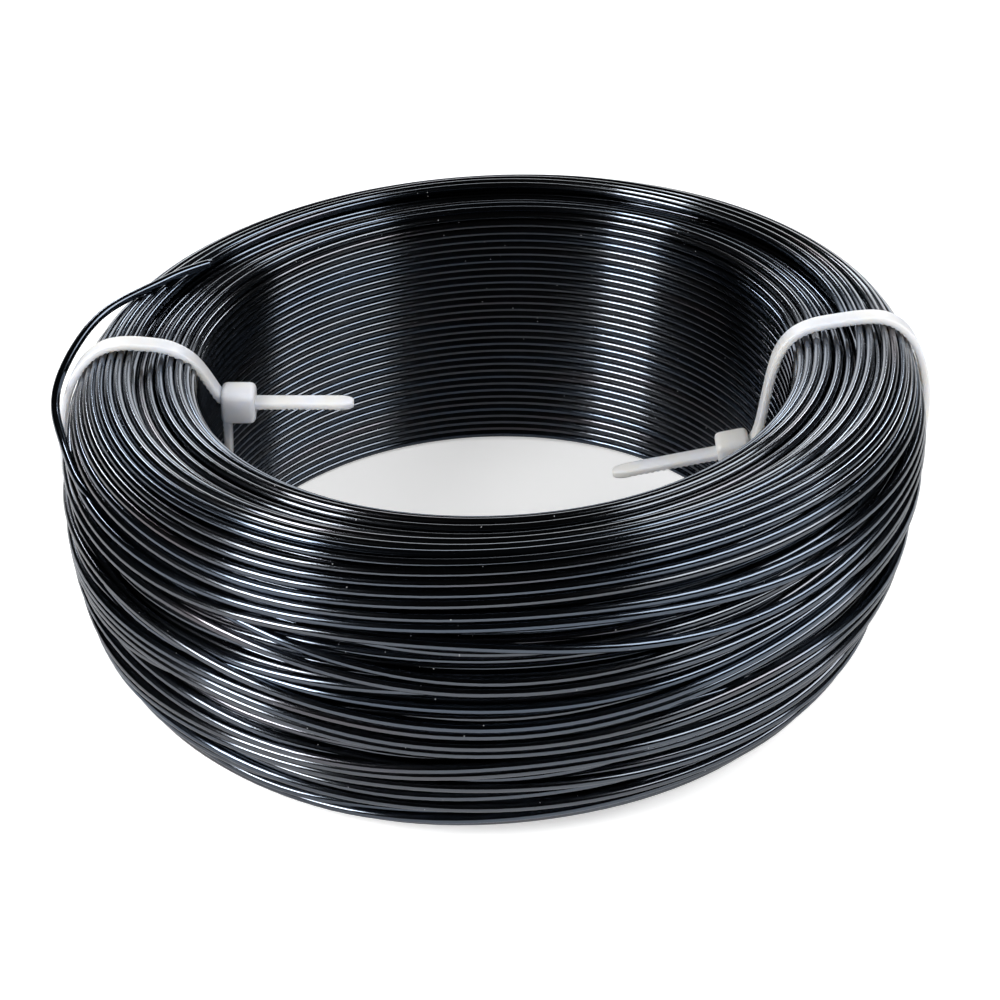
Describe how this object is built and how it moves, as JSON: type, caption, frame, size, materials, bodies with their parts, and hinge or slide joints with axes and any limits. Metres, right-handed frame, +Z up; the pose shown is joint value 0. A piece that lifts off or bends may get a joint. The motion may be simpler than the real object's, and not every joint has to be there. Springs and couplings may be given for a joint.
{
  "type": "coil of aluminium wire",
  "caption": "Loose coil of fine black anodised aluminium wire, lying flat, held by nylon cable ties, with the wire's outer end free over the top.",
  "frame": {"origin": "middle of the coil's base, on the bore's axis, at the level it rests on", "axes": "+Z up along the bore's axis; +X towards the right cable tie; -Y towards the front"},
  "size_m": [0.1198, 0.1172, 0.0435],
  "materials": {
    "anodised_wire": "black anodised, satin gloss",
    "nylon": "natural nylon, slightly translucent"
  },
  "bodies": {
    "root": {"wire_coil": "anodised_wire", "tie_left": "nylon", "tie_right": "nylon"}
  },
  "joints": []
}
